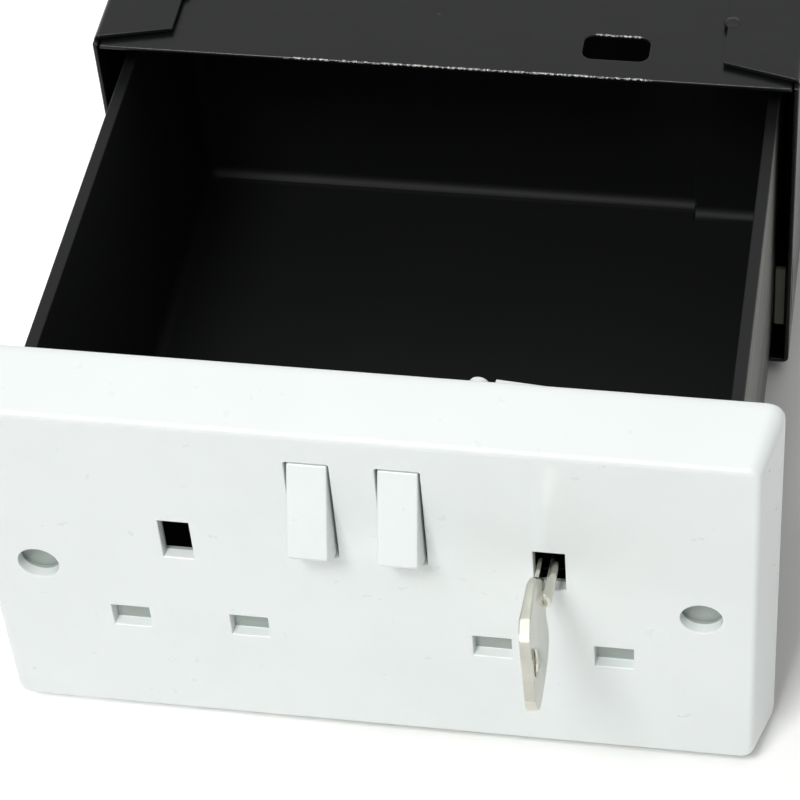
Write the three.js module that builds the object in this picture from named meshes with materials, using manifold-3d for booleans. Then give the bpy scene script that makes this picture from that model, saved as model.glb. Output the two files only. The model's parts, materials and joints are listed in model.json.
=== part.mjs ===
// Outlet diversion safe: a drawer behind a dummy double wall outlet, in a folded steel housing.
// Millimetres, +Z up, the front faces -Y. The origin is the middle of the housing's back face.
// The pose is the open one: drawer pulled out, cam turned to the left, key in the lock.
import * as THREE from "three";
import { mergeVertices } from "three/addons/utils/BufferGeometryUtils.js";
import Module from "manifold-3d";

const wasm = await Module();
wasm.setup();

// Clearances
const seatGap = 0.3; // between pieces that sit on each other
const runningGap = 0.3; // round a shaft, pin or shank
const rockerGap = 0.4; // round each rocker in its opening
const holeGap = 0.3; // round a screw
const plateRearGap = 0.4; // between the faceplate's back and the drawer
const rockerSideGap = 0.5; // between a rocker's sides and the retainer's cheeks
const camGap = 0.7; // between the barrel's end and the cam

// How far cutting shapes run past a face, and how far joined shapes run into each other
const past = 1;
const sunk = 0.5;

// Faceplate
const plateWidth = 146;
const plateHeight = 86;
const plateDepth = 13.4;
const plateSkirt = 1.8; // square part of the sides, at the back
const plateSideSlope = 3.0; // how far the left and right sides draw in towards the front
const plateTopSlope = 3.2; // how far the top and bottom draw in
const plateEdgeRound = 1.1;
const plateCornerRadius = 3.2;
const plateFrontWall = 2.9;
const plateSideWall = 2.4;
const plateRibWidth = 1.4;
const plateRibHeight = 5;
const plateRibDrop = 5; // of the long rib below the pin row
const plateRibRise = 10.3; // of the upper cross ribs above the earth holes

// Outlet pattern on the faceplate
const outletSpacing = 67.1;
const earthHoleHeight = 9.8; // above the plate's middle
const earthHoleWidth = 5.65;
const earthHoleLength = 9.9;
const pinRowHeight = -13.1;
const pinHoleSpacing = 22.2;
const pinHoleWidth = 7.1;
const pinHoleLength = 5.6;
const pinHoleDepth = 2.2;
const pinPadWall = 1.4; // round the blind pin holes, behind the front wall
const fixingHoleSpacing = 120.6;
const fixingHoleDiameter = 7.6;

// Rockers
const rockerSpacing = 15.9;
const rockerWidth = 7.1;
const rockerFaceLength = 18.2;
const rockerRadius = 11.87; // of the rounded ends, about the pivot
const rockerPivotDrop = 22; // below the plate's top
const rockerPivotDepth = 4.2; // behind the plate's face
const rockerTilt = 21.4; // degrees each way
const rockerOpeningCorner = 0.5;
const rockerSkin = 1.7;
const rockerSideWall = 1.35;
const rockerWebThickness = 1.35;
const rockerBack = 3; // how far the ends reach behind the pivot
const rockerHubRadius = 2.6;
const rockerNoseReach = 4.5;
const rockerNoseRadius = 1;
const rockerNoseOpening = 0.5; // half the angle, in radians, where the nose leaves the hub
const rockerPinRadius = 1;
const rockerPinLength = 1.5;

// Rocker retainer and its leaf springs
const retainerDepth = 10.6; // front of its bar, behind the plate's face
const retainerThickness = 1.8;
const retainerBarHeight = 13;
const retainerBarOverhang = 1; // of its bar beyond the outer cheeks
const retainerCheekWidth = 2.6;
const retainerCheekInset = 2; // of the cheeks' ends from the bar's edges
const retainerCornerRadius = 2;
const retainerSpineWidth = 7.2;
const retainerScrewPitch = 32;
const retainerScrewDiameter = 2.4;
const retainerScrewLength = 7;
const retainerBossDiameter = 6;
const leafThickness = 0.35;
const leafWidth = 3.6;
const leafLength = 12;

// Lock
const lockDepth = 6; // front of the barrel, behind the plate's face
const barrelDiameter = 15.8;
const barrelFlats = 13.8;
const barrelLength = 15.6;
const barrelFlangeDiameter = 19.5;
const barrelFlangeThickness = 2;
const plugDiameter = 10.4;
const plugHeadDiameter = 12.4;
const plugHeadThickness = 1.2;
const plugTailDiameter = 6.4;
const plugTailFlats = 5;
const plugStudDiameter = 4.6;
const plugStudLength = 3.8;
const plugWebThickness = 0.8;
const lockNutAcross = 20;
const lockNutThickness = 2.2;
const camThickness = 2;
const camWidth = 9;
const camHubDiameter = 14;
const camNutAcross = 8;
const camNutThickness = 3;
const camEndDrop = 0.3; // of the raised cam's end below the housing's top

// Key
const keyShankDiameter = 5;
const keyInsertion = 10.5; // of the shank into the plug
const keyShoulder = 7; // end of the round shank in front of the plate
const keyBridgeStart = 4.6; // end of its slot in front of the plate
const keyBridgeWidth = 3;
const keyBladeStart = 3.9; // of the flat blade in front of the plate
const keyBladeThickness = 2;
const keyBladeOffset = 0.2; // of its right side, to the left of the shank's axis
const keyNeckWidth = 4.6;
const keyNeckFlare = 0.45; // radians of the bow that the neck's flare takes up on each side
const keyBowLength = 22.8;
const keyBowWidth = 18;
const keyBowReach = 16.8; // middle of the bow in front of the plate
const keyBowSet = 3; // degrees that the blade is set to the right of the shank
const keyEdgeChamfer = 0.5;
const keyRingHoleDiameter = 4.2;
const keyRingHoleReach = 20.4; // in front of the plate

// Lock carrier, behind the drawer's front wall
const carrierWidth = 32.8;
const carrierBase = 2.4;
const carrierRim = 1.8;
const carrierRimDepth = 5;
const carrierFoot = 16.3; // below the lock's axis
const carrierRise = 6.1; // of its top above the drawer's rim
const carrierFootRadius = 3;
const carrierShoulderRadius = 4;
const carrierEarRadius = 1.9; // of the round ear at the top left corner
const carrierEarRise = 0.3; // of the ear above the top edge
const carrierNotchWidth = 1.1;
const carrierNotchDepth = 3;
const carrierSlopeRun = 9; // of the sloping part of the top edge
const carrierSlopeDrop = 0.8;
const carrierScrewMargin = 0.6; // between a screw's head and the carrier's rim

// Screws into the faceplate
const screwDiameter = 2.9;
const screwHeadDiameter = 5.6;
const screwHeadHeight = 1.7;
const screwBossDiameter = 7;
const screwBite = 7.5; // of the shank in the faceplate's boss
const drawerScrewInsetSide = 9.1; // from the drawer's sides
const drawerScrewInset = 12; // from the drawer's rim and foot

// Drawer
const drawerSideRoom = 2.9; // between each side and the housing's wall, for the stops
const drawerRearRoom = 4.4; // behind it when shut
const drawerHeadRoom = 7.5; // between its rim and the housing's top
const drawerWall = 2.4;
const drawerFloor = 2.4;
const drawerDraft = 0.3;
const drawerCornerRadius = 4;
const drawerFootRadius = 1.2;
const drawerFillet = 2.5;
const drawerPadWidth = 17; // thick right end of the rear wall
const drawerPadThickness = 2.5;
const drawerPadDrop = 5; // of its top below the rim
const drawerPadChamfer = 0.6;
const drawerLugReach = 2.1;
const drawerLugLength = 6;
const drawerLugFlat = 2; // of that length, before the ramp
const drawerLugShort = 0.5; // by which each end falls short of the stop tab's
const drawerLugSetback = 5.4; // from the drawer's rear

// Housing
const housingWidth = 138;
const housingHeight = 75;
const housingDepth = 136;
const sheet = 1;
const bendRadius = 1.3;
const flapWidth = 15;
const flapSetback = 1.2; // of the flap's outer corner from the housing's front
const flapSlant = 3.9; // how much further back its inner corner lies
const camSlotWidth = 12.8;
const camSlotLength = 7;
const camSlotSetback = 5.4;
const camSlotCorner = 2;
const camSlotOffset = -0.5; // of its middle from the lock's axis
const stopTabHeight = 16;
const stopTabMiddle = -19.3;
const stopTabReach = 2.4;
const stopTabSetback = 1;
const stopWindowRoom = 0.6; // behind the strip that the tab was bent out of
const weldDiameter = 3.4;
const weldHeight = 0.5;
const weldInset = 0.8; // of its middle from the flap's inner edge
const weldSetback = 17;
const wallHoleDiameter = 5.5;
const wallHoleInsetSide = 19; // from the housing's sides
const wallHoleInset = 15.5; // from its top and bottom

// Pose
const drawerOpening = 86.2;
const keyLean = 7; // degrees that plug, cam and key are turned back past the open position

// Places that follow from the sizes
const lockX = outletSpacing / 2;
const lockZ = earthHoleHeight;
const rockerPivotHeight = plateHeight / 2 - rockerPivotDrop;
const housingTop = housingHeight / 2;
const drawerWidth = housingWidth - 2 * (sheet + drawerSideRoom);
const drawerLength = housingDepth - sheet - drawerRearRoom;
const drawerRim = housingTop - sheet - drawerHeadRoom;
const drawerFoot = -housingTop + sheet + seatGap;
const drawerFront = plateDepth + plateRearGap;
const drawerRear = drawerFront + drawerLength;
const drawerScrewSide = drawerWidth / 2 - drawerScrewInsetSide;
const carrierFront = drawerFront + drawerWall + seatGap;
const carrierBack = carrierFront + carrierRimDepth;
const carrierTop = drawerRim - lockZ + carrierRise; // above the lock's axis
const carrierScrewSide = carrierWidth / 2 - carrierRim - screwHeadDiameter / 2 - carrierScrewMargin;
const carrierScrewDown = carrierFoot - carrierRim - screwHeadDiameter / 2 - carrierScrewMargin;
const carrierScrewUp = drawerRim - lockZ - carrierRim - screwHeadDiameter / 2;
const flangeBack = carrierFront - seatGap;
const barrelBack = lockDepth + barrelLength;
const camFront = Math.max(carrierBack, barrelBack) + camGap;
const camReach = housingTop - lockZ - camEndDrop;
const plateRestFront = -housingDepth - seatGap - drawerOpening - plateDepth;

// Finishes
const whiteMoulding = new THREE.MeshStandardMaterial({ color: 0xf2f3f0, roughness: 0.3, metalness: 0 });
const blackMoulding = new THREE.MeshStandardMaterial({ color: 0x1b1b1b, roughness: 0.35, metalness: 0 });
const blackPaint = new THREE.MeshStandardMaterial({ color: 0x161616, roughness: 0.25, metalness: 0 });
const nickel = new THREE.MeshStandardMaterial({ color: 0xcfd0cc, roughness: 0.22, metalness: 1 });
const zinc = new THREE.MeshStandardMaterial({ color: 0xa9acae, roughness: 0.4, metalness: 1 });
const springSteel = new THREE.MeshStandardMaterial({ color: 0x8f9192, roughness: 0.35, metalness: 1 });

// A closed geometry as a solid for cutting and joining.
function solid(geometry) {
  const plain = geometry.index ? geometry.toNonIndexed() : geometry.clone();
  const bare = new THREE.BufferGeometry();
  bare.setAttribute("position", plain.getAttribute("position"));
  const merged = mergeVertices(bare, 1e-4);
  const vertProperties = merged.attributes.position.array;
  const triVerts = new Uint32Array(merged.index.array);
  return new wasm.Manifold(new wasm.Mesh({ numProp: 3, vertProperties, triVerts }));
}

// A solid back as a geometry with flat-shaded faces.
function geometryOf(body) {
  const mesh = body.getMesh();
  const indexed = new THREE.BufferGeometry();
  indexed.setAttribute("position", new THREE.BufferAttribute(mesh.vertProperties, 3));
  indexed.setIndex(new THREE.BufferAttribute(mesh.triVerts, 1));
  const flat = indexed.toNonIndexed();
  flat.computeVertexNormals();
  return flat;
}

function joined(...parts) {
  return parts.reduce((sum, part) => sum.add(part));
}

function cut(body, ...tools) {
  return tools.reduce((rest, tool) => rest.subtract(tool), body);
}

// A named mesh from a solid or a geometry.
function piece(name, shape, material) {
  const geometry = shape.isBufferGeometry ? shape : geometryOf(shape);
  const mesh = new THREE.Mesh(geometry, material);
  mesh.name = name;
  return mesh;
}

// Box between two corners.
function block(x0, x1, y0, y1, z0, z1) {
  const box = new THREE.BoxGeometry(x1 - x0, y1 - y0, z1 - z0);
  return solid(box.translate((x0 + x1) / 2, (y0 + y1) / 2, (z0 + z1) / 2));
}

// Round bar along Y, centred on x and z.
function rod(radius, y0, y1, x = 0, z = 0, sides = 24) {
  const bar = new THREE.CylinderGeometry(radius, radius, y1 - y0, sides);
  return solid(bar.translate(x, (y0 + y1) / 2, z));
}

// Outline in the XZ plane, carried along Y.
function alongY(shape, y0, y1, curveSegments = 8) {
  const settings = { depth: y1 - y0, bevelEnabled: false, curveSegments };
  const body = new THREE.ExtrudeGeometry(shape, settings);
  return solid(body.rotateX(Math.PI / 2).translate(0, y1, 0));
}

// Outline in the YZ plane, carried along X.
function alongX(shape, x0, x1, curveSegments = 8) {
  const settings = { depth: x1 - x0, bevelEnabled: false, curveSegments };
  const body = new THREE.ExtrudeGeometry(shape, settings);
  const turn = new THREE.Matrix4().set(0, 0, 1, x0, 1, 0, 0, 0, 0, 1, 0, 0, 0, 0, 0, 1);
  return solid(body.applyMatrix4(turn));
}

// Outline in the XY plane, carried along Z.
function alongZ(shape, z0, z1, curveSegments = 8) {
  const settings = { depth: z1 - z0, bevelEnabled: false, curveSegments };
  return solid(new THREE.ExtrudeGeometry(shape, settings).translate(0, 0, z0));
}

// Profile of radius and depth pairs, turned about an axis along Y.
function turned(profile, sides = 32) {
  const points = profile.map(([radius, y]) => new THREE.Vector2(radius, y));
  return solid(new THREE.LatheGeometry(points, sides));
}

// Straight-sided outline through the given points.
function outline(points) {
  return new THREE.Shape(points.map(([a, b]) => new THREE.Vector2(a, b)));
}

// Rectangle with rounded corners, as an outline centred on u and v.
function roundedRect(width, height, radius, u = 0, v = 0) {
  const shape = new THREE.Shape();
  const right = u + width / 2 - radius;
  const left = u - width / 2 + radius;
  const top = v + height / 2 - radius;
  const bottom = v - height / 2 + radius;
  shape.absarc(right, top, radius, 0, Math.PI / 2, false);
  shape.absarc(left, top, radius, Math.PI / 2, Math.PI, false);
  shape.absarc(left, bottom, radius, Math.PI, Math.PI * 1.5, false);
  shape.absarc(right, bottom, radius, Math.PI * 1.5, Math.PI * 2, false);
  shape.closePath();
  return shape;
}

// Circle with two flat sides, as an outline: the flats face left and right.
function doubleD(diameter, flats) {
  const radius = diameter / 2;
  const angle = Math.acos(Math.min(flats / diameter, 1));
  const shape = new THREE.Shape();
  shape.absarc(0, 0, radius, angle, Math.PI - angle, false);
  shape.absarc(0, 0, radius, Math.PI + angle, Math.PI * 2 - angle, false);
  shape.closePath();
  return shape;
}

// Ring of points round a rounded rectangle: place turns a pair into a point in space.
function cornerRing(halfWidth, halfHeight, radius, place, steps = 5) {
  const ring = [];
  const corners = [
    [1, 1],
    [-1, 1],
    [-1, -1],
    [1, -1],
  ];
  corners.forEach(([sideU, sideV], corner) => {
    for (let step = 0; step <= steps; step++) {
      const angle = (corner + step / steps) * (Math.PI / 2);
      const u = sideU * (halfWidth - radius) + radius * Math.cos(angle);
      const v = sideV * (halfHeight - radius) + radius * Math.sin(angle);
      ring.push(place(u, v));
    }
  });
  return ring;
}

// Closed body through a stack of rings with equal point counts, with flat ends.
function loft(rings) {
  const count = rings[0].length;
  const points = rings.flat();
  const middle = (ring) => {
    const sum = ring.reduce((total, point) => total.map((value, axis) => value + point[axis]), [0, 0, 0]);
    return sum.map((value) => value / ring.length);
  };
  const firstMiddle = points.push(middle(rings[0])) - 1;
  const lastMiddle = points.push(middle(rings.at(-1))) - 1;
  const faces = [];
  for (let level = 0; level + 1 < rings.length; level++) {
    for (let i = 0; i < count; i++) {
      const next = (i + 1) % count;
      const a = level * count + i;
      const b = level * count + next;
      faces.push([a, a + count, b + count], [a, b + count, b]);
    }
  }
  const lastStart = (rings.length - 1) * count;
  for (let i = 0; i < count; i++) {
    const next = (i + 1) % count;
    faces.push([firstMiddle, i, next], [lastMiddle, lastStart + next, lastStart + i]);
  }
  const volume = faces.reduce((sum, [a, b, c]) => {
    const [p, q, r] = [a, b, c].map((index) => new THREE.Vector3(...points[index]));
    return sum + p.dot(q.cross(r));
  }, 0);
  const outward = volume > 0 ? faces : faces.map(([a, b, c]) => [a, c, b]);
  const geometry = new THREE.BufferGeometry();
  geometry.setAttribute("position", new THREE.Float32BufferAttribute(points.flat(), 3));
  geometry.setIndex(outward.flat());
  return solid(geometry);
}

// Pan-head screw with its head towards +Y: headSeat is where the head's underside lies.
function panScrew(diameter, headDiameter, headHeight, shankEnd, headSeat) {
  const shank = diameter / 2;
  const head = headDiameter / 2;
  const crown = headSeat + headHeight;
  const profile = [
    [0, shankEnd],
    [shank * 0.55, shankEnd],
    [shank, shankEnd + shank],
    [shank, headSeat],
    [head, headSeat],
    [head, headSeat + headHeight * 0.45],
    [head * 0.72, crown - headHeight * 0.1],
    [head * 0.4, crown],
    [0, crown],
  ];
  return turned(profile, 16);
}

// Countersunk screw with its head towards +Y and flush at headTop.
function flatScrew(diameter, headDiameter, shankEnd, headTop) {
  const shank = diameter / 2;
  const head = headDiameter / 2;
  const coneFoot = headTop - (head - shank);
  const profile = [
    [0, shankEnd],
    [shank * 0.55, shankEnd],
    [shank, shankEnd + shank],
    [shank, coneFoot],
    [head, headTop],
    [0, headTop],
  ];
  return turned(profile, 16);
}

// Where the screws go, as pairs of x and z on the faceplate.
const carrierScrewPlaces = [
  ["left_upper", lockX - carrierScrewSide, lockZ + carrierScrewUp],
  ["right_upper", lockX + carrierScrewSide, lockZ + carrierScrewUp],
  ["left_lower", lockX - carrierScrewSide, lockZ - carrierScrewDown],
  ["right_lower", lockX + carrierScrewSide, lockZ - carrierScrewDown],
];
// The carrier's screws hold the drawer at its upper right, so it has three of its own elsewhere.
const drawerScrewPlaces = [
  ["left_upper", -drawerScrewSide, drawerRim - drawerScrewInset],
  ["left_lower", -drawerScrewSide, drawerFoot + drawerScrewInset],
  ["right_lower", drawerScrewSide, drawerFoot + drawerScrewInset],
];
const retainerScrewPlaces = [
  ["upper", 0, rockerPivotHeight + retainerScrewPitch / 2],
  ["lower", 0, rockerPivotHeight - retainerScrewPitch / 2],
];
const rockerSides = [
  ["left", -rockerSpacing / 2],
  ["right", rockerSpacing / 2],
];

// How far the plate's side has drawn in at a depth behind its face, for one of the two slopes.
function plateDraw(depth, slope) {
  const sloped = plateDepth - plateSkirt;
  return depth >= sloped ? 0 : slope * (1 - depth / sloped);
}

// Outer rings of the faceplate, from its rounded front edge to its back.
function plateRings() {
  const rings = [];
  const steps = 4;
  const ringAt = (y, sideDraw, topDraw, radius) => {
    const place = (x, z) => [x, y, z];
    return cornerRing(plateWidth / 2 - sideDraw, plateHeight / 2 - topDraw, radius, place);
  };
  const edge = (t, slope) => {
    const start = slope + plateEdgeRound;
    const end = plateDraw(plateEdgeRound, slope);
    return (1 - t) ** 2 * start + 2 * t * (1 - t) * slope + t ** 2 * end;
  };
  for (let step = 0; step <= steps; step++) {
    const t = step / steps;
    const radius = plateCornerRadius * (0.55 + 0.25 * t);
    rings.push(ringAt(t ** 2 * plateEdgeRound, edge(t, plateSideSlope), edge(t, plateTopSlope), radius));
  }
  rings.push(ringAt(plateDepth - plateSkirt, 0, 0, plateCornerRadius));
  rings.push(ringAt(plateDepth, 0, 0, plateCornerRadius));
  return rings;
}

// Hollow behind the faceplate's front wall, open at the back.
function plateHollow() {
  const radius = Math.max(plateCornerRadius - plateSideWall, 0.8);
  const ringAt = (y, depth) => {
    const halfWidth = plateWidth / 2 - plateDraw(depth, plateSideSlope) - plateSideWall;
    const halfHeight = plateHeight / 2 - plateDraw(depth, plateTopSlope) - plateSideWall;
    return cornerRing(halfWidth, halfHeight, radius, (x, z) => [x, y, z], 3);
  };
  return loft([
    ringAt(plateFrontWall, plateFrontWall),
    ringAt(plateDepth - plateSkirt, plateDepth),
    ringAt(plateDepth + past, plateDepth),
  ]);
}

// Opening that a rocker swings in.
function rockerOpening(x) {
  const pivotToWall = rockerPivotDepth - plateFrontWall;
  const reach = Math.sqrt(rockerRadius ** 2 - pivotToWall ** 2) + rockerGap;
  const width = rockerWidth + 2 * rockerGap;
  const shape = roundedRect(width, reach * 2, rockerOpeningCorner, x, rockerPivotHeight);
  return alongY(shape, -past, plateFrontWall + past, 2);
}

function faceplate() {
  const shell = cut(loft(plateRings()), plateHollow());
  const adds = [];
  const cuts = [];
  const inWall = plateFrontWall - sunk;
  const screwHole = (diameter, x, z, back) => {
    return rod(diameter / 2 + holeGap, plateFrontWall, back + past, x, z, 12);
  };

  for (const [, x, z] of [...carrierScrewPlaces, ...drawerScrewPlaces]) {
    adds.push(rod(screwBossDiameter / 2, inWall, plateDepth, x, z, 20));
    cuts.push(screwHole(screwDiameter, x, z, plateDepth));
  }
  for (const [, x, z] of retainerScrewPlaces) {
    adds.push(rod(retainerBossDiameter / 2, inWall, retainerDepth - seatGap, x, z, 20));
    cuts.push(screwHole(retainerScrewDiameter, x, z, retainerDepth));
  }

  // stiffening ribs: one along the plate under the pin row, two across it beside the rockers
  const ribBack = plateFrontWall + plateRibHeight;
  const ribHalf = plateRibWidth / 2;
  const ribHeight = pinRowHeight - pinHoleLength / 2 - plateRibDrop;
  const upperRibFoot = earthHoleHeight + earthHoleLength / 2 + plateRibRise;
  const ribEndX = plateWidth / 2 - plateSideWall;
  const ribEndZ = plateHeight / 2 - plateSideWall - plateTopSlope;
  adds.push(block(-ribEndX, ribEndX, inWall, ribBack, ribHeight - ribHalf, ribHeight + ribHalf));
  for (const side of [-1, 1]) {
    const x = (side * outletSpacing) / 2;
    adds.push(block(x - ribHalf, x + ribHalf, inWall, ribBack, -ribEndZ, ribHeight));
    adds.push(block(x - ribHalf, x + ribHalf, inWall, ribBack, upperRibFoot, ribEndZ));
  }

  for (const side of [-1, 1]) {
    const x = (side * outletSpacing) / 2;
    cuts.push(
      block(
        x - earthHoleWidth / 2,
        x + earthHoleWidth / 2,
        -past,
        plateFrontWall + past,
        earthHoleHeight - earthHoleLength / 2,
        earthHoleHeight + earthHoleLength / 2,
      ),
    );
    for (const hand of [-1, 1]) {
      const pinX = x + (hand * pinHoleSpacing) / 2;
      const padHalfWidth = pinHoleWidth / 2 + pinPadWall;
      const padHalfLength = pinHoleLength / 2 + pinPadWall;
      adds.push(
        block(
          pinX - padHalfWidth,
          pinX + padHalfWidth,
          inWall,
          pinHoleDepth + pinPadWall,
          pinRowHeight - padHalfLength,
          pinRowHeight + padHalfLength,
        ),
      );
      cuts.push(
        block(
          pinX - pinHoleWidth / 2,
          pinX + pinHoleWidth / 2,
          -past,
          pinHoleDepth,
          pinRowHeight - pinHoleLength / 2,
          pinRowHeight + pinHoleLength / 2,
        ),
      );
    }
    const fixingX = (side * fixingHoleSpacing) / 2;
    cuts.push(rod(fixingHoleDiameter / 2, -past, plateFrontWall + past, fixingX, 0, 28));
  }
  for (const [, x] of rockerSides) cuts.push(rockerOpening(x));
  return cut(joined(shell, ...adds), ...cuts);
}

// A rocker in its middle position, with the pivot at the origin and its face towards -Y.
function rocker() {
  const halfFace = rockerFaceLength / 2;
  const faceDepth = Math.sqrt(rockerRadius ** 2 - halfFace ** 2);
  const backHalf = Math.sqrt(rockerRadius ** 2 - rockerBack ** 2);
  const faceAngle = Math.atan2(halfFace, -faceDepth);
  const backAngle = Math.atan2(backHalf, rockerBack);
  const side = new THREE.Shape();
  side.absarc(0, 0, rockerRadius, backAngle, faceAngle, false);
  side.absarc(0, 0, rockerRadius, -faceAngle, -backAngle, false);
  side.closePath();
  const half = rockerWidth / 2;
  const body = alongX(side, -half, half, 6);

  // the hollow back, open to the rear, leaves the skin and the hub
  const innerHalf = half - rockerSideWall;
  const innerRadius = rockerRadius - rockerSkin;
  const innerFace = faceDepth - rockerSkin;
  const innerEnd = Math.sqrt(innerRadius ** 2 - innerFace ** 2);
  const hollow = outline([
    [-innerFace, -innerEnd],
    [rockerBack + past, -innerEnd],
    [rockerBack + past, innerEnd],
    [-innerFace, innerEnd],
  ]);
  const hub = new THREE.Shape();
  hub.absarc(0, 0, rockerHubRadius, rockerNoseOpening, Math.PI * 2 - rockerNoseOpening, false);
  hub.absarc(rockerNoseReach - rockerNoseRadius, 0, rockerNoseRadius, -Math.PI / 3, Math.PI / 3, false);
  hub.closePath();
  const across = innerHalf + sunk;
  const webHalf = rockerWebThickness / 2;
  const shell = cut(body, alongX(hollow, -innerHalf, innerHalf));
  const web = block(-across, across, -innerFace - sunk, 0, -webHalf, webHalf);
  const pinReach = half + rockerPinLength;
  const pin = new THREE.Shape();
  pin.absarc(0, 0, rockerPinRadius, 0, Math.PI * 2, false);
  return joined(shell, alongX(hub, -across, across, 6), web, alongX(pin, -pinReach, pinReach, 8));
}

// Cross-shaped bracket behind the rockers: its cheeks hold their pivot pins.
function rockerRetainer() {
  const barBack = retainerDepth + retainerThickness;
  const cheekFront = plateFrontWall + seatGap;
  const innerEdge = rockerSpacing / 2 - rockerWidth / 2 - rockerSideGap;
  const outerEdge = rockerSpacing / 2 + rockerWidth / 2 + rockerSideGap;
  const farEdge = outerEdge + retainerCheekWidth;
  const barHalf = retainerBarHeight / 2;
  const cheekHalf = barHalf - retainerCheekInset;
  const z = rockerPivotHeight;
  const barLength = 2 * (farEdge + retainerBarOverhang);
  const barShape = roundedRect(barLength, retainerBarHeight, retainerCornerRadius, 0, z);
  const bar = alongY(barShape, retainerDepth, barBack);
  const spineLength = retainerScrewPitch + retainerBossDiameter;
  const spineShape = roundedRect(retainerSpineWidth, spineLength, retainerCornerRadius, 0, z);
  const spine = alongY(spineShape, retainerDepth, barBack);
  const cheeks = [
    [-farEdge, -outerEdge],
    [-innerEdge, innerEdge],
    [outerEdge, farEdge],
  ].map(([left, right]) => {
    return block(left, right, cheekFront, retainerDepth + sunk, z - cheekHalf, z + cheekHalf);
  });

  // one slot across all cheeks: the pins drop in from the front
  const slotHalf = rockerPinRadius + runningGap;
  const slot = new THREE.Shape();
  slot.moveTo(cheekFront - past, -slotHalf);
  slot.lineTo(rockerPivotDepth, -slotHalf);
  slot.absarc(rockerPivotDepth, 0, slotHalf, -Math.PI / 2, Math.PI / 2, false);
  slot.lineTo(cheekFront - past, slotHalf);
  slot.closePath();
  const pinSlot = alongX(slot, -farEdge - past, farEdge + past, 8).translate([0, 0, z]);
  const screwHoles = retainerScrewPlaces.map(([, x, holeZ]) => {
    const hole = retainerScrewDiameter / 2 + holeGap;
    const sink = retainerScrewDiameter + holeGap;
    const profile = [
      [0, retainerDepth - past],
      [hole, retainerDepth - past],
      [hole, barBack - (sink - hole)],
      [sink, barBack],
      [sink, barBack + past],
      [0, barBack + past],
    ];
    return turned(profile, 16).translate([x, 0, holeZ]);
  });
  return cut(joined(bar, spine, ...cheeks), pinSlot, ...screwHoles);
}

// Leaf that the rocker's nose rides over: a shallow hump with flat feet on the retainer's bar.
function rockerLeaf() {
  const footBack = retainerDepth - seatGap;
  const crest = rockerPivotDepth + rockerNoseReach + runningGap;
  const rise = footBack - leafThickness - crest;
  const half = leafLength / 2;
  const steps = 16;
  const front = [];
  const back = [];
  for (let step = 0; step <= steps; step++) {
    const z = -half + (leafLength * step) / steps;
    const swell = 0.5 + 0.5 * Math.cos((Math.PI * z) / half);
    front.push([crest + rise * (1 - swell), z]);
    back.push([crest + rise * (1 - swell) + leafThickness, z]);
  }
  const strip = outline([...front, ...back.reverse()]);
  return alongX(strip, -leafWidth / 2, leafWidth / 2).translate([0, 0, rockerPivotHeight]);
}

// Moulded bracket that clamps the lock and the drawer's front wall to the faceplate.
function lockCarrier() {
  const left = -carrierWidth / 2;
  const right = carrierWidth / 2;
  const footHeight = -carrierFoot + carrierFootRadius;
  const shoulder = carrierTop - carrierSlopeDrop;
  const earX = left + carrierEarRadius;
  const earHeight = carrierTop + carrierEarRise - carrierEarRadius;
  const notchLeft = left + 2 * carrierEarRadius;
  const notchRight = notchLeft + carrierNotchWidth;
  const shape = new THREE.Shape();
  shape.moveTo(left, footHeight);
  shape.absarc(left + carrierFootRadius, footHeight, carrierFootRadius, Math.PI, Math.PI * 1.5, false);
  shape.absarc(right - carrierFootRadius, footHeight, carrierFootRadius, Math.PI * 1.5, Math.PI * 2, false);
  const cornerX = right - carrierShoulderRadius;
  shape.absarc(cornerX, shoulder - carrierShoulderRadius, carrierShoulderRadius, 0, Math.PI / 2, false);
  shape.lineTo(notchRight + carrierSlopeRun, shoulder);
  shape.lineTo(notchRight, carrierTop);
  shape.lineTo(notchRight, carrierTop - carrierNotchDepth);
  shape.lineTo(notchLeft, carrierTop - carrierNotchDepth);
  shape.absarc(earX, earHeight, carrierEarRadius, 0, Math.PI, false);
  shape.closePath();
  const blank = alongY(shape, carrierFront, carrierBack);
  const pocketFoot = -carrierFoot + carrierRim;
  const pocketTop = carrierTop - carrierNotchDepth - carrierRim;
  const pocketShape = roundedRect(
    carrierWidth - 2 * carrierRim,
    pocketTop - pocketFoot,
    carrierFootRadius - carrierRim / 2,
    0,
    (pocketTop + pocketFoot) / 2,
  );
  const pocket = alongY(pocketShape, carrierFront + carrierBase, carrierBack + past, 4);
  const bore = alongY(
    doubleD(barrelDiameter + 2 * runningGap, barrelFlats + 2 * runningGap),
    carrierFront - past,
    carrierBack + past,
    16,
  );
  const screwHoles = carrierScrewPlaces.map(([, x, z]) =>
    rod(screwDiameter / 2 + holeGap, carrierFront - past, carrierBack + past, x - lockX, z - lockZ, 12),
  );
  return cut(blank, pocket, bore, ...screwHoles);
}

// Barrel with its front flange, flats behind it and a stepped bore.
function lockBody() {
  const outer = barrelDiameter / 2;
  const bore = plugDiameter / 2 + runningGap;
  const headBore = plugHeadDiameter / 2 + runningGap;
  const headDepth = lockDepth + seatGap + plugHeadThickness + runningGap;
  const flange = barrelFlangeDiameter / 2;
  const flangeFront = flangeBack - barrelFlangeThickness;
  const profile = [
    [headBore, lockDepth],
    [outer, lockDepth],
    [outer, flangeFront],
    [flange, flangeFront],
    [flange, flangeBack],
    [outer, flangeBack],
    [outer, barrelBack],
    [bore, barrelBack],
    [bore, headDepth],
    [headBore, headDepth],
    [headBore, lockDepth],
  ];
  const body = turned(profile, 36);
  const flatHalf = barrelFlats / 2;
  const planes = [-1, 1].map((side) => {
    const near = side * flatHalf;
    const far = side * (outer + past);
    return block(Math.min(near, far), Math.max(near, far), flangeBack, barrelBack + past, -outer, outer);
  });
  return cut(body, ...planes);
}

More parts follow.
